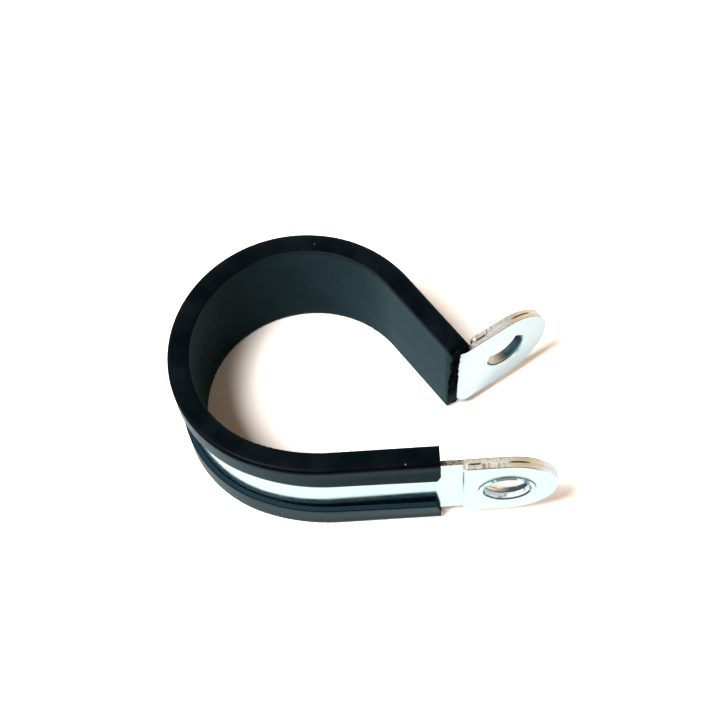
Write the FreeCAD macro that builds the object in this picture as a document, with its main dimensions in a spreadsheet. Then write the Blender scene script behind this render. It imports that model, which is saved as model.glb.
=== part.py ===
import FreeCAD, Part
from collections import namedtuple
import math
import os
import Sketcher

# Cushioned clamp: a bent steel strap with an ear at each end, a bolt hole in each ear,
# a plate held on the outside of each ear by a curled collar, and a rubber channel over the strap.
# Millimetres. The origin is on the axis of the cable seat, halfway across the width.
# X runs out along the lower ear and Z along the axis of the seat.

DIMENSIONS = {
    # cable seat and rubber channel
    "seat_radius": 16.6,
    "cushion_thick": 3.35,
    "pad_thick": 1.6,
    "side_wall": 2.1,
    "rim_crown": 0.25,
    "lip_height": 5.1,
    "arm_lip_lean": 0.25,
    "end_lip_lean": 0.42,
    "channel_play": 0.05,
    # strap
    "strap_width": 15.2,
    "strap_thick": 0.85,
    "arm_drop": 0.77,
    "blend_radius": 27.8,
    "lower_arm_length": 15.7,
    "upper_arm_angle": 34.3,
    "upper_arm_length": 14.05,
    "bend_radius": 0.9,
    "upper_ear_angle": 31.4,
    # ears, bolt holes and plates
    "lower_ear_reach": 9.75,
    "upper_ear_reach": 7.38,
    "hole_radius": 3.2,
    "hole_entry": 0.4,
    "collar_wall": 0.45,
    "collar_play": 0.3,
    "collar_lap": 0.4,
    "collar_rise": 0.32,
    "plate_thick": 0.85,
    "plate_corner": 0.8,
    "plate_seam_bevel": 0.12,
    "plate_outer_bevel": 0.18,
    "lower_plate_setback": 3.3,
    "upper_plate_setback": 1.6,
}


class Size:
    """A length or angle that knows its number and the spreadsheet expression behind it."""

    def __init__(self, number, text):
        self.number = number
        self.text = text

    def __add__(self, other):
        other = as_size(other)
        return Size(self.number + other.number, "(" + self.text + " + " + other.text + ")")

    def __sub__(self, other):
        other = as_size(other)
        return Size(self.number - other.number, "(" + self.text + " - " + other.text + ")")

    def __mul__(self, other):
        other = as_size(other)
        return Size(self.number * other.number, "(" + self.text + " * " + other.text + ")")

    def __truediv__(self, other):
        other = as_size(other)
        return Size(self.number / other.number, "(" + self.text + " / " + other.text + ")")

    def __neg__(self):
        return Size(-self.number, "(0 - " + self.text + ")")


def as_size(value):
    if isinstance(value, Size):
        return value
    return Size(float(value), repr(float(value)))


def sine(angle):
    return Size(math.sin(math.radians(angle.number)), "sin(" + angle.text + ")")


def cosine(angle):
    return Size(math.cos(math.radians(angle.number)), "cos(" + angle.text + ")")


def arc_cosine(ratio):
    return Size(math.degrees(math.acos(ratio.number)), "(acos(" + ratio.text + ") / 1 deg)")


# Document and driving dimensions

doc = FreeCAD.newDocument("cushioned_clamp")
sheet = doc.addObject("Spreadsheet::Sheet", "dims")
size = {}
for row, (alias, number) in enumerate(DIMENSIONS.items(), start=1):
    sheet.set("A" + str(row), alias)
    sheet.set("B" + str(row), str(number))
    sheet.setAlias("B" + str(row), alias)
    size[alias] = Size(number, "dims." + alias)
doc.recompute()

# Sizes that follow from the driving ones

half_strap = size["strap_thick"] / 2
half_width = size["strap_width"] / 2
half_cushion = half_width + size["side_wall"]
strap_radius = size["seat_radius"] + size["pad_thick"] + half_strap
lower_line = strap_radius + size["arm_drop"]
blend_turn = arc_cosine((size["blend_radius"] - lower_line) / (size["blend_radius"] - strap_radius))
blend_start = (size["blend_radius"] - strap_radius) * sine(blend_turn)
lower_cut = blend_start + size["lower_arm_length"]
lower_hole = lower_cut + size["lower_ear_reach"]

arm_cos = cosine(size["upper_arm_angle"])
arm_sin = sine(size["upper_arm_angle"])
ear_cos = cosine(size["upper_ear_angle"])
ear_sin = sine(size["upper_ear_angle"])
upper_arm_radius = strap_radius + size["bend_radius"]
bend_end_x = (upper_arm_radius * arm_cos + size["upper_arm_length"] * arm_sin
              + size["bend_radius"] * ear_sin)
bend_end_y = (upper_arm_radius * arm_sin - size["upper_arm_length"] * arm_cos
              - size["bend_radius"] * ear_cos)
upper_hole_x = bend_end_x + size["upper_ear_reach"] * ear_cos
upper_hole_y = bend_end_y + size["upper_ear_reach"] * ear_sin
collar_radius = size["hole_radius"] + size["collar_wall"]
plate_hole_radius = collar_radius + size["collar_play"]
plate_top = half_strap + size["plate_thick"]

ZERO = as_size(0)
RIGHT_ANGLE = as_size(90)
HALF_TURN = as_size(180)
FULL_TURN = as_size(360)
LENGTH_TOLERANCE = 0.001

# Each ear: hole centre, direction of its length, tilt that faces a sketch to the plate side,
# and the turn that points a plan sketch's Y to the plate side.
Ear = namedtuple("Ear", "hole_x hole_y along tilt across")
LOWER_EAR = Ear(lower_hole, -lower_line, ZERO, 90, HALF_TURN)
UPPER_EAR = Ear(upper_hole_x, upper_hole_y, size["upper_ear_angle"], -90, size["upper_ear_angle"])


# Bodies and sketches

def new_body(label):
    body = doc.addObject("PartDesign::Body", label)
    body.Label = label
    return body


def base_plane(body):
    for feature in body.Origin.OriginFeatures:
        if feature.Role == "XY_Plane":
            return feature
    raise RuntimeError("no base plane in " + body.Label)


def new_sketch(body, name, base_x, base_y, turn, tilt):
    """A sketch at a point of the XY plane, tilted about its own X and turned about Z."""
    sketch = body.newObject("Sketcher::SketchObject", name)
    sketch.AttachmentSupport = [(base_plane(body), "")]
    sketch.MapMode = "FlatFace"
    sketch.AttachmentOffset = FreeCAD.Placement(
        FreeCAD.Vector(base_x.number, base_y.number, 0),
        FreeCAD.Rotation(turn.number, 0, tilt))
    sketch.setExpression("AttachmentOffset.Base.x", base_x.text)
    sketch.setExpression("AttachmentOffset.Base.y", base_y.text)
    sketch.setExpression("AttachmentOffset.Rotation.Yaw", turn.text)
    return sketch


def bind(sketch, constraint, expression):
    index = sketch.addConstraint(constraint)
    sketch.setExpression("Constraints[" + str(index) + "]", expression)


def pin(sketch, piece, end, x, y):
    """Holds one end of a sketch piece at x, y measured from the sketch's origin."""
    bind(sketch, Sketcher.Constraint("DistanceX", -1, 1, piece, end, x.number), x.text)
    bind(sketch, Sketcher.Constraint("DistanceY", -1, 1, piece, end, y.number), y.text)


def point(x, y):
    return FreeCAD.Vector(x.number, y.number, 0)


def arc_about(centre, radius, start_angle, end_angle):
    circle = Part.Circle(centre, FreeCAD.Vector(0, 0, 1), radius)
    return Part.ArcOfCircle(circle, start_angle, end_angle)


def arc_between(first, last, radius):
    """The short arc of the given radius that runs anticlockwise from first to last."""
    chord = last - first
    rise = math.sqrt(radius ** 2 - (chord.Length / 2) ** 2)
    across = FreeCAD.Vector(-chord.y, chord.x, 0).normalize()
    centre = (first + last) * 0.5 + across * rise
    start = math.atan2(first.y - centre.y, first.x - centre.x)
    end = math.atan2(last.y - centre.y, last.x - centre.x)
    return arc_about(centre, radius, start, end)


def radius_over(chord, rise):
    """Radius of the arc that rises that far over its chord."""
    return (chord * chord / 4 + rise * rise) / (rise * 2)


def closed_outline(sketch, corners, bulges):
    """Joins the corners anticlockwise. A side in bulges is an arc of that radius."""
    count = len(corners)
    for index in range(count):
        first = point(*corners[index])
        last = point(*corners[(index + 1) % count])
        if index in bulges:
            sketch.addGeometry(arc_between(first, last, bulges[index].number))
        else:
            sketch.addGeometry(Part.LineSegment(first, last))
    for index in range(count):
        sketch.addConstraint(Sketcher.Constraint("Coincident", index, 2, (index + 1) % count, 1))
        pin(sketch, index, 1, *corners[index])
    for index, radius in bulges.items():
        bind(sketch, Sketcher.Constraint("Radius", index, radius.number), radius.text)


def turned_feature(body, kind, name, sketch, angle):
    """A Revolution or Groove about the sketch's own vertical axis."""
    feature = body.newObject("PartDesign::" + kind, name)
    feature.Profile = sketch
    feature.ReferenceAxis = (sketch, ["V_Axis"])
    feature.Angle = angle.number
    feature.setExpression("Angle", angle.text)
    return feature


# Ear shapes: a tongue with straight sides and a half round end about the bolt hole

def tongue(sketch, back):
    """Rounded at the origin end and cut square at the distance back from the hole."""
    half = half_width.number
    rear = -back.number
    centre = FreeCAD.Vector(0, 0, 0)
    sketch.addGeometry(arc_about(centre, half, -math.pi / 2, math.pi / 2))
    corners = [(0, half), (rear, half), (rear, -half), (0, -half)]
    for (x1, y1), (x2, y2) in zip(corners, corners[1:]):
        sketch.addGeometry(Part.LineSegment(FreeCAD.Vector(x1, y1, 0), FreeCAD.Vector(x2, y2, 0)))
    sketch.addConstraint(Sketcher.Constraint("Coincident", 0, 3, -1, 1))
    sketch.addConstraint(Sketcher.Constraint("Tangent", 0, 2, 1, 1))
    sketch.addConstraint(Sketcher.Constraint("Coincident", 1, 2, 2, 1))
    sketch.addConstraint(Sketcher.Constraint("Coincident", 2, 2, 3, 1))
    sketch.addConstraint(Sketcher.Constraint("Tangent", 3, 2, 0, 1))
    sketch.addConstraint(Sketcher.Constraint("Horizontal", 1))
    sketch.addConstraint(Sketcher.Constraint("Vertical", 2))
    sketch.addConstraint(Sketcher.Constraint("Horizontal", 3))
    bind(sketch, Sketcher.Constraint("Radius", 0, half), half_width.text)
    bind(sketch, Sketcher.Constraint("DistanceX", -1, 1, 1, 2, rear), (-back).text)


def round_hole(sketch, radius):
    circle = sketch.addGeometry(
        Part.Circle(FreeCAD.Vector(0, 0, 0), FreeCAD.Vector(0, 0, 1), radius.number))
    sketch.addConstraint(Sketcher.Constraint("Coincident", circle, 3, -1, 1))
    bind(sketch, Sketcher.Constraint("Radius", circle, radius.number), radius.text)


# Steel strap: one strip bent along a centre line, then rounded, pierced and flanged

def strap_centre_line(body):
    """Lower ear and arm, easing arc, round the seat, upper arm, bend and upper ear."""
    sketch = new_sketch(body, "strap_centre_line", ZERO, ZERO, ZERO, 0)
    blend_middle = point(blend_start, size["blend_radius"] - lower_line)
    blend_end_angle = -(RIGHT_ANGLE + blend_turn)
    arm_angle = math.radians(size["upper_arm_angle"].number)
    ear_angle = math.radians(size["upper_ear_angle"].number)
    arm_end_x = strap_radius * arm_cos + size["upper_arm_length"] * arm_sin
    arm_end_y = strap_radius * arm_sin - size["upper_arm_length"] * arm_cos
    bend_middle = point(arm_end_x + size["bend_radius"] * arm_cos,
                        arm_end_y + size["bend_radius"] * arm_sin)

    lower = sketch.addGeometry(Part.LineSegment(
        point(lower_hole, -lower_line), point(blend_start, -lower_line)))
    blend = sketch.addGeometry(arc_about(
        blend_middle, size["blend_radius"].number,
        math.radians(blend_end_angle.number), math.radians(-RIGHT_ANGLE.number)))
    seat = sketch.addGeometry(arc_about(
        FreeCAD.Vector(0, 0, 0), strap_radius.number,
        arm_angle, math.radians((blend_end_angle + FULL_TURN).number)))
    upper = sketch.addGeometry(Part.LineSegment(
        point(strap_radius * arm_cos, strap_radius * arm_sin), point(arm_end_x, arm_end_y)))
    bend = sketch.addGeometry(arc_about(
        bend_middle, size["bend_radius"].number,
        arm_angle + math.pi, ear_angle + math.pi * 3 / 2))
    ear = sketch.addGeometry(Part.LineSegment(
        point(bend_end_x, bend_end_y), point(upper_hole_x, upper_hole_y)))

    joins = ((lower, 2, blend, 2), (blend, 1, seat, 2), (seat, 1, upper, 1),
             (upper, 2, bend, 1), (bend, 2, ear, 1))
    for first, first_end, second, second_end in joins:
        sketch.addConstraint(Sketcher.Constraint("Tangent", first, first_end, second, second_end))
    sketch.addConstraint(Sketcher.Constraint("Coincident", seat, 3, -1, 1))
    sketch.addConstraint(Sketcher.Constraint("Horizontal", lower))
    pin(sketch, lower, 1, lower_hole, -lower_line)
    pin(sketch, ear, 2, upper_hole_x, upper_hole_y)
    for arc, radius in ((blend, size["blend_radius"]), (seat, strap_radius),
                        (bend, size["bend_radius"])):
        bind(sketch, Sketcher.Constraint("Radius", arc, radius.number), radius.text)
    pin(sketch, upper, 2, arm_end_x, arm_end_y)
    return sketch


def strap_section(body):
    """The strip's flat section, where the lower ear's hole is."""
    sketch = new_sketch(body, "strap_section", lower_hole, ZERO, -RIGHT_ANGLE, 90)
    inner = lower_line - half_strap
    outer = lower_line + half_strap
    corners = [(inner, -half_width), (outer, -half_width), (outer, half_width), (inner, half_width)]
    closed_outline(sketch, corners, {})
    return sketch


def rounded_end(body, name, ear):
    """The half round end of an ear, running back a little way into the strip."""
    sketch = new_sketch(body, name + "_outline", ear.hole_x, ear.hole_y, ear.along, ear.tilt)
    tongue(sketch, size["strap_thick"])
    pad = body.newObject("PartDesign::Pad", name)
    pad.Profile = sketch
    pad.SideType = "Symmetric"
    pad.Length = size["strap_thick"].number
    pad.setExpression("Length", size["strap_thick"].text)


def bolt_hole(body, name, ear):
    """A hole through one ear, with a flared mouth on the face away from the plate."""
    sketch = new_sketch(body, name + "_outline", ear.hole_x, ear.hole_y, ear.across, 0)
    radius = size["hole_radius"]
    entry = size["hole_entry"]
    outline = [(ZERO, -half_strap), (radius + entry, -half_strap), (radius, entry - half_strap),
               (radius, half_strap), (ZERO, half_strap)]
    closed_outline(sketch, outline, {})
    turned_feature(body, "Groove", name, sketch, FULL_TURN)


def collar(body, name, ear):
    """Metal drawn up round the hole, through the plate, and curled into a bead over its edge."""
    sketch = new_sketch(body, name + "_outline", ear.hole_x, ear.hole_y, ear.across, 0)
    bead_radius = plate_hole_radius + size["collar_lap"]
    curl = radius_over(bead_radius - size["hole_radius"], size["collar_rise"])
    outline = [(size["hole_radius"], ZERO), (collar_radius, ZERO), (collar_radius, plate_top),
               (bead_radius, plate_top), (size["hole_radius"], plate_top)]
    closed_outline(sketch, outline, {3: curl})
    turned_feature(body, "Revolution", name, sketch, FULL_TURN)


def build_strap():
    body = new_body("steel_strap")
    strip = body.newObject("PartDesign::AdditivePipe", "bent_strip")
    strip.Profile = strap_section(body)
    strip.Spine = strap_centre_line(body)
    strip.Mode = "Frenet"
    for name, ear in (("lower", LOWER_EAR), ("upper", UPPER_EAR)):
        rounded_end(body, name + "_ear_end", ear)
        doc.recompute()
        bolt_hole(body, name + "_bolt_hole", ear)
        doc.recompute()
        collar(body, name + "_collar", ear)
        doc.recompute()
    return body


# Rubber channel: grips the strap round the seat, and its lips ease off along the two arms

def channel_section(body, name, base_x, base_y, turn, centre, lean):
    """Section across the channel. centre is the strap's distance from the sketch's origin."""
    play = size["channel_play"]
    inner = centre - half_strap - size["pad_thick"]
    outer = inner + size["cushion_thick"]
    pad_face = centre - half_strap
    lip_face = centre + half_strap + play
    edge = half_width + play
    rim = half_cushion - size["rim_crown"]
    free = half_cushion - size["lip_height"]
    crown = radius_over(size["cushion_thick"], size["rim_crown"])
    corners = [(inner, -rim), (outer, -rim), (outer + lean, -free), (lip_face + lean, -free),
               (lip_face, -edge), (pad_face, -edge), (pad_face, edge), (lip_face, edge),
               (lip_face + lean, free), (outer + lean, free), (outer, rim), (inner, rim)]
    sketch = new_sketch(body, name, base_x, base_y, turn, 90)
    closed_outline(sketch, corners, {0: crown, 10: crown})
    return sketch


def easing_line(body):
    """Centre line of the strap along the easing arc between the lower arm and the seat."""
    sketch = new_sketch(body, "easing_line", ZERO, ZERO, ZERO, 0)
    middle_y = size["blend_radius"] - lower_line
    arc = sketch.addGeometry(arc_about(
        point(blend_start, middle_y), size["blend_radius"].number,
        math.radians(-(RIGHT_ANGLE + blend_turn).number), math.radians(-RIGHT_ANGLE.number)))
    bind(sketch, Sketcher.Constraint("Radius", arc, size["blend_radius"].number),
         size["blend_radius"].text)
    pin(sketch, arc, 2, blend_start, -lower_line)
    pin(sketch, arc, 1, -(strap_radius * sine(blend_turn)), -(strap_radius * cosine(blend_turn)))
    return sketch


def build_cushion():
    body = new_body("rubber_cushion")
    arm_angle = size["upper_arm_angle"]
    end_lean = size["end_lip_lean"]

    seat_section = channel_section(
        body, "seat_section", ZERO, ZERO, arm_angle, strap_radius, ZERO)
    turned_feature(body, "Revolution", "round_the_seat", seat_section,
                   FULL_TURN - RIGHT_ANGLE - arm_angle - blend_turn)
    doc.recompute()

    upper_end_section = channel_section(
        body, "upper_end_section", size["upper_arm_length"] * arm_sin,
        -(size["upper_arm_length"] * arm_cos), arm_angle, strap_radius, end_lean)
    upper_arm = body.newObject("PartDesign::AdditiveLoft", "along_the_upper_arm")
    upper_arm.Profile = seat_section
    upper_arm.Sections = [upper_end_section]
    doc.recompute()

    easing_section = channel_section(
        body, "easing_section", ZERO, ZERO, -(RIGHT_ANGLE + blend_turn), strap_radius, ZERO)
    arm_section = channel_section(
        body, "arm_section", blend_start, ZERO, -RIGHT_ANGLE, lower_line, size["arm_lip_lean"])
    easing = body.newObject("PartDesign::AdditivePipe", "round_the_easing_arc")
    easing.Profile = easing_section
    easing.Sections = [arm_section]
    easing.Spine = easing_line(body)
    easing.Transformation = "Multisection"
    doc.recompute()

    lower_end_section = channel_section(
        body, "lower_end_section", lower_cut, ZERO, -RIGHT_ANGLE, lower_line, end_lean)
    lower_arm = body.newObject("PartDesign::AdditiveLoft", "along_the_lower_arm")
    lower_arm.Profile = arm_section
    lower_arm.Sections = [lower_end_section]
    doc.recompute()
    return body


# Plates: a doubling plate on the outer face of each ear, held by the curled collar

def build_plate(label, ear, length):
    body = new_body(label)
    face_x = ear.hole_x - half_strap * sine(ear.across)
    face_y = ear.hole_y + half_strap * cosine(ear.across)
    sketch = new_sketch(body, label + "_outline", face_x, face_y, ear.along, ear.tilt)
    tongue(sketch, length)
    round_hole(sketch, plate_hole_radius)
    pad = body.newObject("PartDesign::Pad", "blank")
    pad.Profile = sketch
    pad.Length = size["plate_thick"].number
    pad.setExpression("Length", size["plate_thick"].text)
    doc.recompute()

    corners = body.newObject("PartDesign::Fillet", "rear_corners")
    corners.Base = (pad, rear_corner_edges(pad, ear, length))
    corners.Radius = size["plate_corner"].number
    corners.setExpression("Radius", size["plate_corner"].text)
    doc.recompute()

    shaped = corners
    for name, height in (("seam_bevel", half_strap), ("outer_bevel", plate_top)):
        bevel = body.newObject("PartDesign::Chamfer", name)
        bevel.Base = (shaped, outline_edges(shaped, ear, height))
        bevel.Size = size["plate_" + name].number
        bevel.setExpression("Size", size["plate_" + name].text)
        doc.recompute()
        shaped = bevel
    return body


def edge_names(feature, wanted):
    """Names of the feature's edges that the test picks out."""
    return ["Edge" + str(index) for index, edge in enumerate(feature.Shape.Edges, start=1)
            if wanted(edge)]


def rear_corner_edges(pad, ear, length):
    """The two short edges through the thickness, at the end away from the rounding."""
    hole = point(ear.hole_x, ear.hole_y)
    corner_reach = math.hypot(length.number, half_width.number)

    def wanted(edge):
        through = abs(edge.Length - size["plate_thick"].number) < LENGTH_TOLERANCE
        return through and edge.CenterOfMass.distanceToPoint(hole) > corner_reach
    return edge_names(pad, wanted)


def outline_edges(plate, ear, height):
    """Outside edges of the plate's face at that height over the strap's centre line."""
    across = math.radians(ear.across.number)
    beside_hole = (plate_hole_radius.number + half_width.number) / 2
    on_face = Part.Vertex(ear.hole_x.number - height.number * math.sin(across),
                          ear.hole_y.number + height.number * math.cos(across), beside_hole)
    face = min(plate.Shape.Faces, key=lambda candidate: candidate.distToShape(on_face)[0])
    outline = face.OuterWire.Edges
    return edge_names(plate, lambda edge: any(edge.isSame(other) for other in outline))


# Build, check and export

bodies = [
    build_strap(),
    build_cushion(),
    build_plate("lower_ear_plate", LOWER_EAR,
                size["lower_ear_reach"] - size["lower_plate_setback"]),
    build_plate("upper_ear_plate", UPPER_EAR,
                size["upper_ear_reach"] - size["upper_plate_setback"]),
]
doc.recompute()

for item in doc.Objects:
    if "Invalid" in item.State or "Error" in item.State:
        raise RuntimeError(item.Label + " did not build: " + str(item.State))

os.makedirs("parts", exist_ok=True)
for body in bodies:
    shape = body.Shape
    if shape.isNull() or not shape.isValid() or len(shape.Solids) != 1:
        raise RuntimeError(body.Label + " is not one valid solid")
    shape.exportStep("parts/" + body.Label + ".step")
    print(body.Label, round(shape.Volume, 1), "mm3")
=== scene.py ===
import math

import bpy
from mathutils import Matrix, Vector, noise


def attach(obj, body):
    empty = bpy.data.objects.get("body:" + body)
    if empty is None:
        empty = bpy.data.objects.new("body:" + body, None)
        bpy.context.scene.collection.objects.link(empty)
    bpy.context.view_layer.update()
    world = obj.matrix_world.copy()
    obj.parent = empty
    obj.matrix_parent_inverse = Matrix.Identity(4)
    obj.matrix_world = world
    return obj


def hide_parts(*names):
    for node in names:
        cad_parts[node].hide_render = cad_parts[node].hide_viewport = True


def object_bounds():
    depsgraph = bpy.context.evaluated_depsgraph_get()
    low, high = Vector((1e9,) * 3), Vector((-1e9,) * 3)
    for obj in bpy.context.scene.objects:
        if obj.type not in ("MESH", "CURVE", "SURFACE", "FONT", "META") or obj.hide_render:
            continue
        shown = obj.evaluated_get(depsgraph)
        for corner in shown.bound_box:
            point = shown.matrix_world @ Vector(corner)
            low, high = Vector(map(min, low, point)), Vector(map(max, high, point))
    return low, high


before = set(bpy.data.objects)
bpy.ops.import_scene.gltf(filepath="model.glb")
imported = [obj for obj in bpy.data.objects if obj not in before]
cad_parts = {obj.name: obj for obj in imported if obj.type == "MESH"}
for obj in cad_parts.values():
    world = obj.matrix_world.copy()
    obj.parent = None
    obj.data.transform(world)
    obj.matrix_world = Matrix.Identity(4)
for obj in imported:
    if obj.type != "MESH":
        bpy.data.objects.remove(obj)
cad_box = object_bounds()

# Cushioned clamp lying on its rim on a white floor, lit from the left by two soft lamps.
# Lengths are in metres, apart from the rubber channel's, which are in millimetres.

WHITE = (1, 1, 1, 1)


# Camera at the photograph's viewing angle

CAMERA_PLACE = Vector((0.015713, -0.103716, 0.198132))
CAMERA_RIGHT = Vector((0.997387, -0.041822, -0.058900))
CAMERA_UP = Vector((0.064621, 0.880972, 0.468735))
CAMERA_LENS = 72.653
CAMERA_NEAREST = 0.01


def add_camera():
    right = CAMERA_RIGHT.normalized()
    back = right.cross(CAMERA_UP).normalized()
    up = back.cross(right)
    data = bpy.data.cameras.new("camera")
    data.lens = CAMERA_LENS
    data.clip_start = CAMERA_NEAREST
    camera = bpy.data.objects.new("camera", data)
    bpy.context.collection.objects.link(camera)
    turn = Matrix((right, up, back)).transposed().to_4x4()
    camera.matrix_world = Matrix.Translation(CAMERA_PLACE) @ turn
    bpy.context.scene.camera = camera


# Node helpers

LINE_CORE = 0.6
LINE_BLUR = 1.4


class Nodes:
    """Adds nodes to one material or world and joins them up. A mask is 1 where it applies."""

    def __init__(self, owner):
        owner.use_nodes = True
        self.tree = owner.node_tree
        self.tree.nodes.clear()

    def add(self, kind, inputs=None, **settings):
        node = self.tree.nodes.new(kind)
        for name, value in settings.items():
            setattr(node, name, value)
        for name, value in (inputs or {}).items():
            self.feed(node.inputs[name], value)
        return node

    def feed(self, socket, value):
        if isinstance(value, bpy.types.NodeSocket):
            self.tree.links.new(value, socket)
        else:
            socket.default_value = value

    def finish(self, shader, kind="Material"):
        output = self.add("ShaderNodeOutput" + kind)
        self.tree.links.new(shader.outputs[0], output.inputs["Surface"])

    def math(self, operation, first, second=0.0):
        return self.add("ShaderNodeMath", {0: first, 1: second}, operation=operation).outputs[0]

    def both(self, first, second):
        """Where both masks apply, or one mask at part strength."""
        return self.math("MULTIPLY", first, second)

    def inverse(self, mask):
        return self.math("SUBTRACT", 1.0, mask)

    def mix(self, amount, first, second, kind="RGBA"):
        node = self.add("ShaderNodeMix", data_type=kind)
        self.feed(node.inputs["Factor"], amount)
        self.feed(node.inputs["A"], first)
        self.feed(node.inputs["B"], second)
        return node.outputs["Result"]

    def noise(self, place, scale, detail=2.0, roughness=0.5):
        node = self.add("ShaderNodeTexNoise", {
            "Vector": place, "Scale": scale, "Detail": detail, "Roughness": roughness})
        return node.outputs["Fac"]

    def vector(self, operation, first, second):
        node = self.add("ShaderNodeVectorMath", {0: first, 1: second}, operation=operation)
        is_number = operation in ("LENGTH", "DISTANCE", "DOT_PRODUCT")
        return node.outputs["Value" if is_number else "Vector"]

    def parts(self, vector):
        """The X, Y and Z of a vector."""
        return self.add("ShaderNodeSeparateXYZ", {"Vector": vector}).outputs

    def step(self, value, low, high, out_low=0.0, out_high=1.0):
        """Smooth change from out_low to out_high as the value goes from low to high."""
        node = self.add("ShaderNodeMapRange", {
            "Value": value, "From Min": low, "From Max": high,
            "To Min": out_low, "To Max": out_high})
        node.interpolation_type = "SMOOTHSTEP"
        return node.outputs[0]

    def fade(self, value, low, high, strength=1.0):
        """The given strength up to low, and nothing from high on."""
        return self.step(value, low, high, strength, 0.0)

    def line(self, value, centre, half_width):
        """One where the value is within a half width of the centre."""
        away = self.math("ABSOLUTE", self.math("SUBTRACT", value, centre))
        return self.fade(away, half_width * LINE_CORE, half_width * LINE_BLUR)


# Floor: shadows round the clamp, plain white further out

FLOOR_LEVEL = cad_box[0][2]
FLOOR_SIZE = 4.0
FLOOR_BOUNCED = (0.80, 0.78, 0.76, 1)
FLOOR_MIRRORED = (0.94, 1.03, 1.07, 1)
FLOOR_SEEN = (2.06, 1.94, 1.88, 1)
SHADOWS_REACH = 0.12
PLAIN_FROM = 0.25


def floor_material():
    material = bpy.data.materials.new("white_floor")
    nodes = Nodes(material)
    path = nodes.add("ShaderNodeLightPath")
    seen = path.outputs["Is Camera Ray"]
    colour = nodes.mix(path.outputs["Is Glossy Ray"], FLOOR_BOUNCED, FLOOR_MIRRORED)
    colour = nodes.mix(seen, colour, FLOOR_SEEN)
    near = nodes.add("ShaderNodeBsdfDiffuse", {"Color": colour})
    far = nodes.add("ShaderNodeEmission", {"Color": WHITE, "Strength": 1.0})
    place = nodes.add("ShaderNodeTexCoord").outputs["Object"]
    distance = nodes.vector("LENGTH", place, (0, 0, 0))
    far_share = nodes.both(nodes.step(distance, SHADOWS_REACH, PLAIN_FROM), seen)
    shader = nodes.add("ShaderNodeMixShader", {
        0: far_share, 1: near.outputs[0], 2: far.outputs[0]})
    nodes.finish(shader)
    material.cycles.emission_sampling = "NONE"
    return material


def add_floor():
    bpy.ops.mesh.primitive_plane_add(size=FLOOR_SIZE, location=(0, 0, FLOOR_LEVEL))
    floor = bpy.context.object
    floor.name = "floor"
    floor.data.materials.append(floor_material())


# Room: dim overhead, with walls that are bright by the window and all round in the metal

CEILING = (0.155, 0.108, 0.066, 1)
SHADED_WALLS = (0.36, 0.33, 0.29, 1)
BRIGHT_WALLS = (1.0, 0.97, 0.92, 1)
TOWARDS_WINDOW = (-0.6, -0.8, 0)


def add_world():
    world = bpy.data.worlds.new("studio")
    bpy.context.scene.world = world
    nodes = Nodes(world)
    path = nodes.add("ShaderNodeLightPath")
    direction = nodes.add("ShaderNodeTexCoord").outputs["Generated"]
    overhead = nodes.step(nodes.parts(direction)["Z"], low=0.25, high=0.75)
    window_side = nodes.vector("DOT_PRODUCT", direction, TOWARDS_WINDOW)
    bright = nodes.math("MAXIMUM", nodes.step(window_side, low=-0.5, high=0.5),
                        path.outputs["Is Glossy Ray"])
    walls = nodes.mix(bright, SHADED_WALLS, BRIGHT_WALLS)
    room = nodes.mix(overhead, walls, CEILING)
    colour = nodes.mix(path.outputs["Is Camera Ray"], room, WHITE)
    background = nodes.add("ShaderNodeBackground", {"Color": colour, "Strength": 1.0})
    nodes.finish(background, "World")


# Lamps: a high one for the shadows and a weak low one that reaches the inner wall

LAMP_AIM = Vector((0.005, 0, 0))
LAMP_COLOUR = (1.0, 0.99, 0.97)


def add_lamp(name, place, size, power):
    data = bpy.data.lights.new(name, "AREA")
    data.shape = "SQUARE"
    data.size = size
    data.energy = power
    data.color = LAMP_COLOUR
    lamp = bpy.data.objects.new(name, data)
    bpy.context.collection.objects.link(lamp)
    lamp.location = place
    lamp.rotation_euler = (LAMP_AIM - Vector(place)).to_track_quat("-Z", "Y").to_euler()


# Rubber channel: sizes in millimetres, as in the solid that this piece stands for

MM = 0.001
SEAT_RADIUS = 16.6
PAD_THICK = 1.6
CUSHION_THICK = 3.35
SIDE_WALL = 2.1
RIM_CROWN = 0.25
LIP_HEIGHT = 5.1
CHANNEL_PLAY = 0.05
STRAP_WIDTH = 15.2
STRAP_THICK = 0.85
ARM_DROP = 0.77
BLEND_RADIUS = 27.8
LOWER_ARM = 15.7
UPPER_ARM = 14.05
UPPER_ARM_ANGLE = math.radians(34.3)
ARM_LIP_LEAN = 0.25
END_LIP_LEAN = 0.42

STRAP_RADIUS = SEAT_RADIUS + PAD_THICK + STRAP_THICK / 2
LOWER_LINE = STRAP_RADIUS + ARM_DROP
BLEND_TURN = math.acos((BLEND_RADIUS - LOWER_LINE) / (BLEND_RADIUS - STRAP_RADIUS))
BLEND_START = (BLEND_RADIUS - STRAP_RADIUS) * math.sin(BLEND_TURN)
SEAT_TURN = math.pi * 3 / 2 - UPPER_ARM_ANGLE - BLEND_TURN
BLEND_LENGTH = BLEND_RADIUS * BLEND_TURN
SEAT_LENGTH = STRAP_RADIUS * SEAT_TURN
CUSHION_LENGTH = LOWER_ARM + BLEND_LENGTH + SEAT_LENGTH + UPPER_ARM

PAD_DEPTH = -STRAP_THICK / 2 - PAD_THICK
LIP_ROOT = STRAP_THICK / 2
LIP_EDGE = STRAP_WIDTH / 2 + CHANNEL_PLAY
LIP_FREE = STRAP_WIDTH / 2 + SIDE_WALL - LIP_HEIGHT


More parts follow.
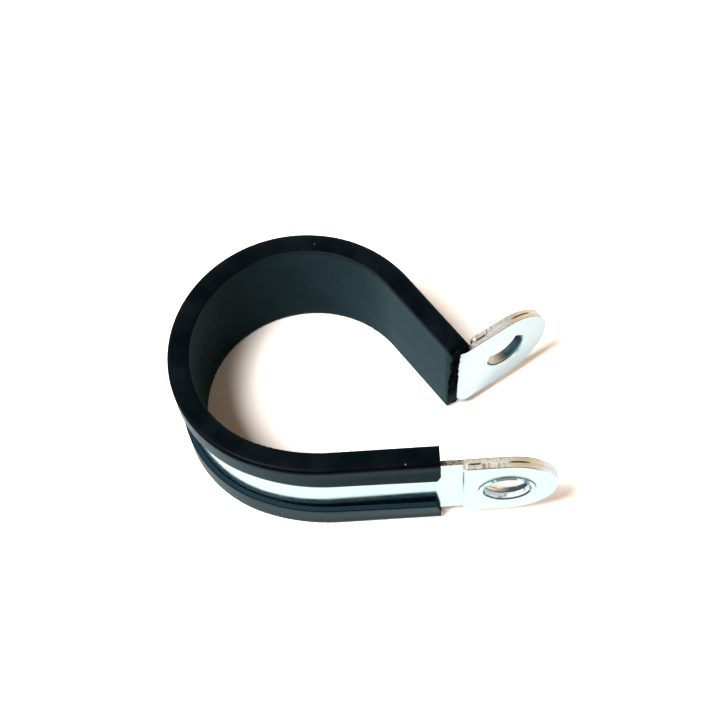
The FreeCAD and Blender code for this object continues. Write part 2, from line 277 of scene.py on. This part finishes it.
def path_at(distance):
    """Point on the strap's centre line, outward direction and lip lean, from the lower cut."""
    if distance < LOWER_ARM:
        point = Vector((BLEND_START + LOWER_ARM - distance, -LOWER_LINE))
        lean = END_LIP_LEAN + (ARM_LIP_LEAN - END_LIP_LEAN) * distance / LOWER_ARM
        return point, Vector((0, -1)), lean
    distance -= LOWER_ARM
    if distance < BLEND_LENGTH:
        angle = -math.pi / 2 - distance / BLEND_RADIUS
        out = Vector((math.cos(angle), math.sin(angle)))
        centre = Vector((BLEND_START, BLEND_RADIUS - LOWER_LINE))
        return centre + out * BLEND_RADIUS, out, ARM_LIP_LEAN * (1 - distance / BLEND_LENGTH)
    distance -= BLEND_LENGTH
    if distance < SEAT_LENGTH:
        angle = -math.pi / 2 - BLEND_TURN - distance / STRAP_RADIUS
        out = Vector((math.cos(angle), math.sin(angle)))
        return out * STRAP_RADIUS, out, 0.0
    distance -= SEAT_LENGTH
    out = Vector((math.cos(UPPER_ARM_ANGLE), math.sin(UPPER_ARM_ANGLE)))
    along = Vector((out.y, -out.x))
    return out * STRAP_RADIUS + along * distance, out, END_LIP_LEAN * distance / UPPER_ARM


# Section of the channel, with its corners rounded and its long sides divided

LIP_INNER_ROUNDING = 0.12
LIP_OUTER_ROUNDING = 0.22
RIM_OUTER_ROUNDING = 0.5
RIM_INNER_ROUNDING = 0.25
CROWN_POINTS = (0.6, 0.3, 0, -0.3, -0.6)
SIDE_STEP = 0.6
ROUNDING_STEPS = 4


def rounded_outline(corners):
    """Corners are (depth, height, rounding). Long sides get points in between."""
    runs = []
    for index, (depth, height, rounding) in enumerate(corners):
        here = Vector((depth, height))
        before = (Vector(corners[index - 1][:2]) - here).normalized()
        after = (Vector(corners[(index + 1) % len(corners)][:2]) - here).normalized()
        if rounding == 0:
            runs.append([here])
            continue
        first = here + before * rounding
        last = here + after * rounding
        run = []
        for step in range(ROUNDING_STEPS + 1):
            part = step / ROUNDING_STEPS
            run.append(first * (1 - part) ** 2 + here * 2 * part * (1 - part) + last * part ** 2)
        runs.append(run)
    points = []
    for index, run in enumerate(runs):
        points += run
        following = runs[(index + 1) % len(runs)][0]
        gap = following - run[-1]
        pieces = max(1, round(gap.length / SIDE_STEP))
        points += [run[-1] + gap * piece / pieces for piece in range(1, pieces)]
    return points


def channel_outline():
    """Section of the channel: depth out from the strap's centre line, and height."""
    inner = PAD_DEPTH
    outer = inner + CUSHION_THICK
    lip_face = LIP_ROOT + CHANNEL_PLAY
    rim = STRAP_WIDTH / 2 + SIDE_WALL - RIM_CROWN
    middle = (inner + outer) / 2
    crown = [(middle + (outer - inner) / 2 * part, rim + RIM_CROWN * (1 - part ** 2), 0)
             for part in CROWN_POINTS]
    groove = [(-LIP_ROOT, LIP_EDGE, 0), (lip_face, LIP_EDGE, 0)]
    lip = [(lip_face, LIP_FREE, LIP_INNER_ROUNDING), (outer, LIP_FREE, LIP_OUTER_ROUNDING)]
    upper = groove + lip + [(outer, rim, RIM_OUTER_ROUNDING)] + crown + [
        (inner, rim, RIM_INNER_ROUNDING)]
    lower = [(depth, -height, rounding) for depth, height, rounding in reversed(upper)]
    return rounded_outline(upper + lower)


def lean_share(point):
    """How far a point of the section follows the lip's lean, from 0 at its root to 1."""
    if point.x < LIP_ROOT:
        return 0.0
    return min(1.0, max(0.0, (LIP_EDGE - abs(point.y)) / (LIP_EDGE - LIP_FREE)))


# Knife cuts at the two ends: neither is square, and the lower one has a notch in its upper lip

LOWER_LIP_SLANT = 0.6
LOWER_CUT_EXTRA = 0.12
LOWER_CUT_ROUGH = 0.06
LOWER_CUT_GRAIN = 1.5
NOTCH_HEIGHT = 1.1
NOTCH_DEPTH = 0.45
NOTCH_RAMP = 0.4
UPPER_CUT_LOW = -0.15
UPPER_CUT_HIGH = 1.05
UPPER_CUT_ROUGH = 0.55
UPPER_CUT_GRAIN = (0.8, 1.1)
UPPER_LIP_REACH = 0.2
UPPER_LIP_ROUGH_SHARE = 0.3
LOWER_NOISE_LAYER = 3.0
UPPER_NOISE_LAYER = 8.0


def lower_cut_shift(depth, height):
    """How far the lower arm's cut lies short of square."""
    rough = LOWER_CUT_ROUGH * noise.noise(
        Vector((depth * LOWER_CUT_GRAIN, height * LOWER_CUT_GRAIN, LOWER_NOISE_LAYER)))
    if depth > LIP_ROOT and height < 0:
        free_share = max(0.0, (height + LIP_EDGE) / (LIP_EDGE - LIP_FREE))
        return rough + LOWER_LIP_SLANT * free_share
    if depth > LIP_ROOT and height < LIP_FREE + NOTCH_HEIGHT:
        return rough + NOTCH_DEPTH * min(1.0, (LIP_FREE + NOTCH_HEIGHT - height) / NOTCH_RAMP)
    return rough - LOWER_CUT_EXTRA


def upper_cut_shift(depth, height):
    """How far the upper arm's slanting cut passes the square one."""
    across, up = UPPER_CUT_GRAIN
    rough = UPPER_CUT_ROUGH * noise.noise(Vector((depth * across, height * up, UPPER_NOISE_LAYER)))
    high_share = (height / LIP_EDGE + 1) / 2
    slant = UPPER_CUT_LOW + (UPPER_CUT_HIGH - UPPER_CUT_LOW) * high_share
    if depth > LIP_ROOT and abs(height) < LIP_EDGE:
        return min(slant, UPPER_LIP_REACH) + rough * UPPER_LIP_ROUGH_SHARE
    return slant + rough


# Cushion: one mesh on the path, section after section, with a face across each cut end

STATION_STEP = 0.6
LIP_RISE = 0.3
WAVE_DEPTH = 0.02
WAVE_ALONG = 0.12
WAVE_AROUND = 0.15
WAVE_UP = 0.1
PAD_MARGIN = 0.01
CUT_SLOT = 1
PAD_SLOT = 2


def cushion_places(outline, stations):
    """Every point of the mesh, in metres, starting at the lower arm's cut."""
    places = []
    for station in range(stations + 1):
        distance = CUSHION_LENGTH * station / stations
        middle, out, lean = path_at(distance)
        along = Vector((out.y, -out.x))
        for around, point in enumerate(outline):
            depth = point.x + lean * lean_share(point)
            wave = noise.noise(
                Vector((distance * WAVE_ALONG, around * WAVE_AROUND, point.y * WAVE_UP)))
            shift = 0.0
            if station == 0:
                shift = lower_cut_shift(depth, point.y)
            if station == stations:
                shift = upper_cut_shift(depth, point.y)
            spot = middle + out * (depth + WAVE_DEPTH * wave) + along * shift
            height = point.y + LIP_RISE * lean_share(point)
            places.append(Vector((spot.x, spot.y, height)) * MM)
    return places


def cushion_faces(count, stations):
    """Faces between neighbouring sections, then the two cut ends."""
    faces = []
    for station in range(stations):
        low = station * count
        high = low + count
        for around in range(count):
            following = (around + 1) % count
            faces.append((low + around, high + around, high + following, low + following))
    faces.append(tuple(range(count)))
    faces.append(tuple(reversed(range(stations * count, (stations + 1) * count))))
    return faces


def add_cushion(material, cut_material, pad_material):
    outline = channel_outline()
    count = len(outline)
    stations = round(CUSHION_LENGTH / STATION_STEP)
    mesh = bpy.data.meshes.new("cushion")
    mesh.from_pydata(cushion_places(outline, stations), [], cushion_faces(count, stations))
    mesh.update()
    for slot_material in (material, cut_material, pad_material):
        mesh.materials.append(slot_material)
    for face in mesh.polygons[-2:]:
        face.material_index = CUT_SLOT
    for face in mesh.polygons[:-2]:
        face.use_smooth = True
        around = face.index % count
        outermost = max(outline[around].x, outline[(around + 1) % count].x)
        if outermost < PAD_DEPTH + PAD_MARGIN:
            face.material_index = PAD_SLOT
    cushion = bpy.data.objects.new("cushion", mesh)
    bpy.context.collection.objects.link(cushion)
    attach(cushion, "root")
    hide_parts("rubber_cushion")


# Rubber: nearly black with a teal sheen, scuffed, and with three specks of dust on its rim

RUBBER_DARK = (0.0008, 0.0018, 0.0034, 1)
RUBBER_PALE = (0.0040, 0.0072, 0.0102, 1)
RUBBER_SCUFF = (0.0002, 0.0004, 0.0008, 1)
# Painted sheen: navy on the lower lip's upward faces, where they catch the light
LIP_TOP_PAINTED_SHEEN = (0.009, 0.024, 0.038, 1)
# Painted shade along the rounded corners, and a painted highlight where the inner corners catch
# the light on the right
PAINTED_CORNER_SHADE = (0.0002, 0.0004, 0.0009, 1)
PAINTED_CORNER_HIGHLIGHT = (0.0120, 0.0200, 0.0250, 1)
DUST = (0.26, 0.28, 0.27, 1)
SHEEN_TINT = (0.35, 0.8, 0.93, 1)
DUST_SPECKS = ((0.01454, -0.02010, 0.0096), (0.01890, 0.00167, 0.0096),
               (0.00265, 0.01775, 0.0096))
SPECK_CORE = 0.00004
SPECK_RADIUS = 0.00016


def rubber_colour(nodes, blotches):
    """Blotches and scuffs, a painted navy sheen on the lower lip's tops, painted shade along the
    rounded corners with a painted highlight on the inner ones at the right, and dust.
    """
    coordinates = nodes.add("ShaderNodeTexCoord").outputs
    place = coordinates["Object"]
    normal = coordinates["Normal"]
    parts = nodes.parts(place)
    tilt = nodes.parts(normal)["Z"]
    scuffs = nodes.noise(place, scale=620.0)
    colour = nodes.mix(nodes.step(blotches, low=0.32, high=0.68), RUBBER_DARK, RUBBER_PALE)
    colour = nodes.mix(nodes.step(scuffs, low=0.64, high=0.78), colour, RUBBER_SCUFF)
    # Painted sheen on the lower lip's upward faces
    sheened_lip_top = nodes.both(nodes.step(tilt, low=0.5, high=0.8),
                         nodes.fade(parts["Z"], low=0.002, high=0.004))
    colour = nodes.mix(sheened_lip_top, colour, LIP_TOP_PAINTED_SHEEN)
    # Painted shade along the rounded corners; on the inner corners at the right it turns to a
    # painted highlight
    corner = nodes.line(nodes.math("ABSOLUTE", tilt), centre=0.60, half_width=0.30)
    outward = nodes.vector("DOT_PRODUCT", normal, place)
    lit_inner_corner = nodes.both(nodes.fade(outward, low=0.0, high=0.004),
                        nodes.step(parts["X"], low=-0.009, high=-0.004))
    colour = nodes.mix(corner, colour, nodes.mix(lit_inner_corner, PAINTED_CORNER_SHADE, PAINTED_CORNER_HIGHLIGHT))
    for speck in DUST_SPECKS:
        away = nodes.vector("DISTANCE", place, speck)
        colour = nodes.mix(nodes.fade(away, SPECK_CORE, SPECK_RADIUS), colour, DUST)
    return colour


def rubber_material(name, refraction, sheen):
    """The pad's copy mirrors less and has more sheen, as it is seen at a grazing angle."""
    material = bpy.data.materials.new(name)
    nodes = Nodes(material)
    place = nodes.add("ShaderNodeTexCoord").outputs["Object"]
    blotches = nodes.noise(place, scale=170.0, detail=5.0, roughness=0.6)
    grain = nodes.noise(place, scale=2600.0, detail=3.0, roughness=0.6)
    rough = nodes.step(blotches, low=0.3, high=0.7, out_low=0.24, out_high=0.32)
    bump = nodes.add("ShaderNodeBump", {"Height": grain, "Strength": 0.15, "Distance": 0.00006})
    shader = nodes.add("ShaderNodeBsdfPrincipled", {
        "Base Color": rubber_colour(nodes, blotches), "Roughness": rough,
        "Normal": bump.outputs[0], "IOR": refraction, "Sheen Weight": sheen,
        "Sheen Roughness": 0.5, "Sheen Tint": SHEEN_TINT})
    nodes.finish(shader)
    return material


# Cut rubber: dull black where the knife went through, and paler towards the floor

CUT_DARK = (0.0010, 0.0022, 0.0030, 1)
CUT_PALE = (0.012, 0.020, 0.022, 1)
CUT_FOOT = (0.048, 0.068, 0.072, 1)


def cut_rubber_material():
    material = bpy.data.materials.new("cut_rubber")
    nodes = Nodes(material)
    place = nodes.add("ShaderNodeTexCoord").outputs["Object"]
    tears = nodes.noise(place, scale=1500.0, detail=5.0, roughness=0.7)
    colour = nodes.mix(nodes.step(tears, low=0.45, high=0.7), CUT_DARK, CUT_PALE)
    # Paler towards the bottom of the cut end
    foot = nodes.fade(nodes.parts(place)["Z"], low=-0.0085, high=-0.0040, strength=0.7)
    colour = nodes.mix(foot, colour, CUT_FOOT)
    bump = nodes.add("ShaderNodeBump", {"Height": tears, "Strength": 0.6, "Distance": 0.0001})
    shader = nodes.add("ShaderNodeBsdfPrincipled", {
        "Base Color": colour, "Roughness": 0.6, "Normal": bump.outputs[0], "IOR": 1.03})
    nodes.finish(shader)
    return material


# Places on the ears. Reach is along X, less UPPER_EAR_FURTHER on the upper ear. Depth is outwards
# from the strap's middle. Radius is from the hole's centre.

LOWER_HOLE = (0.02913, -LOWER_LINE * MM, 0)
LOWER_EAR_OUT = (0, -1, 0)
UPPER_HOLE = (0.030815, 0.002473, 0)
UPPER_EAR_OUT = (-0.521, 0.8536, 0)
UPPER_EAR_FURTHER = 0.0024
BETWEEN_EARS = -0.010
TIPS_START = 0.027
INNER_FACE = -0.00043
SEAM = 0.00043
PLATE_FULL = 0.00053
CURL_STARTS = 0.00050
CURL_FULL = 0.00060
OUTER_FACE = 0.00127
HOLE_RIM = 0.00338
RIM_LINE = 0.00344
BEAD_TOP = 0.00380
BEAD_CREASE = 0.00422
COLLAR_REACH = 0.0044


class EarMasks:
    """Masks on one material that find the sheared edges, the seam and the collars."""

    def __init__(self, nodes):
        coordinates = nodes.add("ShaderNodeTexCoord").outputs
        self.place = coordinates["Object"]
        parts = nodes.parts(self.place)
        self.across = parts["Y"]
        self.height = parts["Z"]
        self.upper = nodes.math("GREATER_THAN", self.across, BETWEEN_EARS)
        self.lower = nodes.inverse(self.upper)
        further = nodes.both(self.upper, UPPER_EAR_FURTHER)
        self.reach = nodes.math("SUBTRACT", parts["X"], further)
        normal = coordinates["Normal"]
        lower_ear = self.around_hole(nodes, normal, LOWER_HOLE, LOWER_EAR_OUT)
        upper_ear = self.around_hole(nodes, normal, UPPER_HOLE, UPPER_EAR_OUT)
        self.radius, self.depth, facing = [
            nodes.mix(self.upper, at_lower, at_upper, kind="FLOAT")
            for at_lower, at_upper in zip(lower_ear, upper_ear)]
        tilt = nodes.parts(normal)
        self.leftward = nodes.fade(tilt["X"], low=-0.25, high=0.25)
        self.collar = nodes.math("LESS_THAN", self.radius, COLLAR_REACH)
        level = nodes.step(nodes.math("ABSOLUTE", tilt["Z"]), low=0.4, high=0.6)
        at_tip = nodes.math("GREATER_THAN", self.reach, TIPS_START)
        round_tip = nodes.both(nodes.fade(facing, low=0.35, high=0.6), at_tip)
        self.edge = nodes.both(nodes.math("MAXIMUM", level, round_tip), nodes.inverse(self.collar))
        self.wall = nodes.both(nodes.math("LESS_THAN", self.radius, HOLE_RIM),
                               nodes.fade(facing, low=0.75, high=0.9))
        past_strap = nodes.step(self.depth, CURL_STARTS, CURL_FULL)
        self.curl = nodes.both(nodes.both(past_strap, self.wall), self.lower)

    def around_hole(self, nodes, normal, hole, out):
        """Radius from the hole's centre, depth, and how squarely the surface faces out or in."""
        from_hole = nodes.vector("SUBTRACT", self.place, hole)
        radius = nodes.vector("LENGTH", nodes.vector("CROSS_PRODUCT", from_hole, out), (0, 0, 0))
        depth = nodes.vector("DOT_PRODUCT", from_hole, out)
        facing = nodes.math("ABSOLUTE", nodes.vector("DOT_PRODUCT", normal, out))
        return radius, depth, facing


# Sheared edges: speckled brown near the rubber, then grey, then tan that fades at the tip

SPECKLES_END = (0.0226, 0.0232)
RUBBER_PASSED = (0.0230, 0.0234)
TAN_STARTS = (0.0285, 0.0300)
CORNERS_FADE = (0.0325, 0.0350)
TAN_ENDS = (0.0335, 0.0350)
BARS_CENTRE = 0.0263
BARS_REACH = 0.0030
SEAM_GAPS = ((0.0236, 0.0253), (0.0294, 0.0321))
# Strength of the painted shade along the sheared edges' corners, near the rubber
CORNER_DARKNESS = ((INNER_FACE, 0.7), (OUTER_FACE, 0.85))
TIP_DARKNESS = 0.1
BAR_DARKNESS = 0.75
SCUFF_STRETCH = (0.6, 1, 1)
ONLY_ALONG = (1, 0, 0)

SPECKLE_DARK = (0.12, 0.09, 0.07, 1)
SPECKLE_PALE = (0.62, 0.56, 0.48, 1)
LOWER_GREY_DARK = (0.66, 0.62, 0.53, 1)
LOWER_GREY_PALE = (1.0, 0.98, 0.88, 1)
UPPER_GREY_DARK = (0.74, 0.73, 0.70, 1)
UPPER_GREY_PALE = (1.0, 1.0, 0.98, 1)
TAN_DARK = (0.95, 0.77, 0.56, 1)
TAN_PALE = (1.0, 0.88, 0.69, 1)
TIP_COLOUR = (1, 0.98, 0.94, 1)
BAR_COLOUR = (0.11, 0.10, 0.09, 1)
# Painted highlight for dashes along the seam
SEAM_HIGHLIGHT_COLOUR = (1, 1, 0.98, 1)
GAP_COLOUR = (0.020, 0.016, 0.014, 1)
# Painted shade for the sheared edges' corners
CORNER_SHADE_COLOUR = (0.09, 0.08, 0.07, 1)


def sheared_metal(nodes, masks):
    """The torn metal's own colour, in four zones along the ear."""
    specks = nodes.noise(masks.place, scale=4200.0, roughness=0.6)
    speckled = nodes.mix(nodes.step(specks, low=0.42, high=0.60), SPECKLE_DARK, SPECKLE_PALE)
    stretched = nodes.vector("MULTIPLY", masks.place, SCUFF_STRETCH)
    scuffs = nodes.noise(stretched, scale=5200.0)
    scuffed = nodes.step(scuffs, low=0.35, high=0.65)
    lower_grey = nodes.mix(scuffed, LOWER_GREY_DARK, LOWER_GREY_PALE)
    upper_grey = nodes.mix(scuffed, UPPER_GREY_DARK, UPPER_GREY_PALE)
    grey = nodes.mix(masks.upper, lower_grey, upper_grey)
    tan = nodes.mix(nodes.step(scuffs, low=0.30, high=0.70), TAN_DARK, TAN_PALE)
    colour = nodes.mix(nodes.step(masks.reach, *SPECKLES_END), speckled, grey)
    colour = nodes.mix(nodes.step(masks.reach, *TAN_STARTS), colour, tan)
    return nodes.mix(nodes.step(masks.reach, *TAN_ENDS), colour, TIP_COLOUR)


def seam_marks(nodes, masks, past_rubber, colour):
    """Dark bars down the plate's edge, painted highlights in dashes along the seam, and dark gaps
    along the seam.
    """
    along = nodes.vector("MULTIPLY", masks.place, ONLY_ALONG)
    marks = nodes.noise(along, scale=1500.0, detail=1.0)
    on_plate = nodes.step(masks.depth, SEAM, PLATE_FULL)
    bars = nodes.both(nodes.line(marks, centre=0.43, half_width=0.018), on_plate)
    bars = nodes.both(bars, nodes.line(masks.reach, BARS_CENTRE, BARS_REACH))
    colour = nodes.mix(nodes.both(bars, BAR_DARKNESS), colour, BAR_COLOUR)
    # Painted highlights in dashes along the seam
    seam_highlights = nodes.both(nodes.step(marks, low=0.44, high=0.47), past_rubber)
    seam_highlights = nodes.both(seam_highlights, nodes.line(masks.depth, SEAM, half_width=0.00013))
    colour = nodes.mix(seam_highlights, colour, SEAM_HIGHLIGHT_COLOUR)
    for start, end in SEAM_GAPS:
        middle = (start + end) / 2
        stretch = nodes.line(masks.reach, middle, middle - start)
        gap = nodes.both(stretch, nodes.line(masks.depth, SEAM, half_width=0.00012))
        colour = nodes.mix(gap, colour, GAP_COLOUR)
    return colour


def sheared_colour(nodes, masks):
    """The torn metal with its marks, and painted shade along its corners that fades towards the
    tip.
    """
    past_rubber = nodes.step(masks.reach, *RUBBER_PASSED)
    colour = seam_marks(nodes, masks, past_rubber, sheared_metal(nodes, masks))
    # Painted shade along the corners where the sheared edge meets the faces
    for corner, darkness in CORNER_DARKNESS:
        faded = nodes.step(masks.reach, *CORNERS_FADE, darkness, TIP_DARKNESS)
        share = nodes.both(nodes.line(masks.depth, corner, half_width=0.00011), past_rubber)
        colour = nodes.mix(nodes.both(share, faded), colour, CORNER_SHADE_COLOUR)
    return colour


# Collars: painted dark teal lines where the metal turns over the hole, as it mirrors the dark
# room, with painted shade in the crease round the bead and painted reflections on the hole walls

# Painted reflections on the hole walls: warm where they face right, dark teal where they face left
WARM_WALL_REFLECTION = (1.0, 0.90, 0.78, 1)
TEAL_WALL_REFLECTION = (0.10, 0.21, 0.26, 1)
# Painted highlight for the lower collar's curl
CURL_PAINTED_HIGHLIGHT = (0.92, 0.97, 1.0, 1)
# Painted reflection for the upper ear's hole wall on the strap side
ENTRY_PAINTED_REFLECTION = (0.34, 0.52, 0.58, 1)
# Painted dark teal for the collars' reflection lines and the crease's shade
PAINTED_DARK_TEAL = (0.025, 0.070, 0.095, 1)


def collar_colour(nodes, masks, face):
    # Painted reflections on the hole walls, chosen by the way they face
    wall = nodes.mix(masks.leftward, WARM_WALL_REFLECTION, TEAL_WALL_REFLECTION)
    colour = nodes.mix(masks.wall, face, wall)
    # Painted highlight: the lower collar's curl past the strap is near white
    colour = nodes.mix(masks.curl, colour, CURL_PAINTED_HIGHLIGHT)
    # Painted reflection on the upper ear's hole wall, strap side: dark teal facing left, pale teal
    # facing right
    entry = nodes.both(nodes.fade(masks.depth, low=-0.0001, high=0.0), masks.upper)
    entry_reflection = nodes.mix(masks.leftward, PAINTED_DARK_TEAL, ENTRY_PAINTED_REFLECTION)
    colour = nodes.mix(nodes.both(entry, masks.wall), colour, entry_reflection)
    # Painted dark reflection lines and spots on the lower collar, broken up at random, and painted
    # shade in the crease round the bead
    line_breakup = nodes.noise(masks.place, scale=900.0)
    top_half = nodes.step(masks.height, low=-0.0006, high=0.0008)
    near_top = nodes.step(masks.height, low=0.0014, high=0.0022)
    rim_line_shown = nodes.math("MAXIMUM", nodes.step(line_breakup, low=0.36, high=0.46), top_half)
    rim = nodes.both(nodes.line(masks.radius, RIM_LINE, half_width=0.00016), rim_line_shown)
    step_line = nodes.both(nodes.line(masks.depth, CURL_STARTS, half_width=0.00009), masks.wall)
    crease = nodes.both(nodes.line(masks.radius, BEAD_CREASE, half_width=0.00009), top_half)
    bead_dark_reflection = nodes.both(nodes.line(masks.radius, BEAD_TOP, half_width=0.00034), near_top)
    bead_dark_reflection = nodes.both(bead_dark_reflection, nodes.step(line_breakup, low=0.44, high=0.52))
    dark_reflection_spots = nodes.both(masks.curl, nodes.step(line_breakup, low=0.60, high=0.68))
    marks = ((rim, 0.97), (step_line, 0.95), (crease, 0.85), (bead_dark_reflection, 0.85), (dark_reflection_spots, 0.6))
    for mark, strength in marks:
        share = nodes.both(nodes.both(mark, masks.lower), strength)
        colour = nodes.mix(share, colour, PAINTED_DARK_TEAL)
    return colour


# Zinc: bright faces, with a painted cooler, dimmer reflection on the front ones, and duller edges
# and hole walls

ZINC_DULL = (0.86, 0.93, 0.945, 1)
ZINC_BRIGHT = (0.90, 0.96, 0.97, 1)
ZINC_FRONT_REFLECTION_TINT = (0.745, 0.885, 0.89, 1)
FRONT_ENDS = (-0.0175, -0.0060)
EXTRA_ROUGHNESS = 0.38
CURL_SCATTERING = 0.6
EDGE_SCATTERING = 0.22


def zinc_material(name):
    material = bpy.data.materials.new(name)
    nodes = Nodes(material)
    masks = EarMasks(nodes)
    clouds = nodes.noise(masks.place, scale=420.0, detail=4.0, roughness=0.55)
    face = nodes.mix(clouds, ZINC_DULL, ZINC_BRIGHT)
    # Painted reflection: the front faces are tinted cooler and dimmer than the rest
    face = nodes.mix(nodes.step(masks.across, *FRONT_ENDS), ZINC_FRONT_REFLECTION_TINT, face)
    colour = nodes.mix(masks.collar, face, collar_colour(nodes, masks, face))
    colour = nodes.mix(masks.edge, colour, sheared_colour(nodes, masks))
    rough = nodes.step(clouds, low=0.3, high=0.7, out_low=0.10, out_high=0.16)
    dull = nodes.math("MAXIMUM", masks.edge, masks.wall)
    rough = nodes.math("ADD", rough, nodes.both(dull, EXTRA_ROUGHNESS))
    # Less metallic on the curl, so that its painted highlight shows white, and on the sheared
    # edges
    scattering = nodes.math("MAXIMUM", nodes.both(masks.curl, CURL_SCATTERING),
                            nodes.both(masks.edge, EDGE_SCATTERING))
    shader = nodes.add("ShaderNodeBsdfPrincipled", {
        "Base Color": colour, "Metallic": nodes.inverse(scattering), "Roughness": rough})
    nodes.finish(shader)
    return material


def dress(node, material):
    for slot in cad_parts[node].material_slots:
        slot.material = material


# Scene

scene = bpy.context.scene
scene.view_settings.view_transform = "Standard"
add_camera()
add_floor()
add_world()
add_lamp("key", place=(-0.24, -0.145, 0.62), size=0.21, power=3.8)
add_lamp("window", place=(-0.42, -0.10, 0.34), size=0.16, power=1.1)

add_cushion(rubber_material("black_rubber", refraction=1.09, sheen=0.10), cut_rubber_material(),
            rubber_material("black_rubber_pad", refraction=1.05, sheen=0.18))
dress("steel_strap", zinc_material("zinc_plated_strap"))
plate_zinc = zinc_material("zinc_plated_plate")
dress("lower_ear_plate", plate_zinc)
dress("upper_ear_plate", plate_zinc)
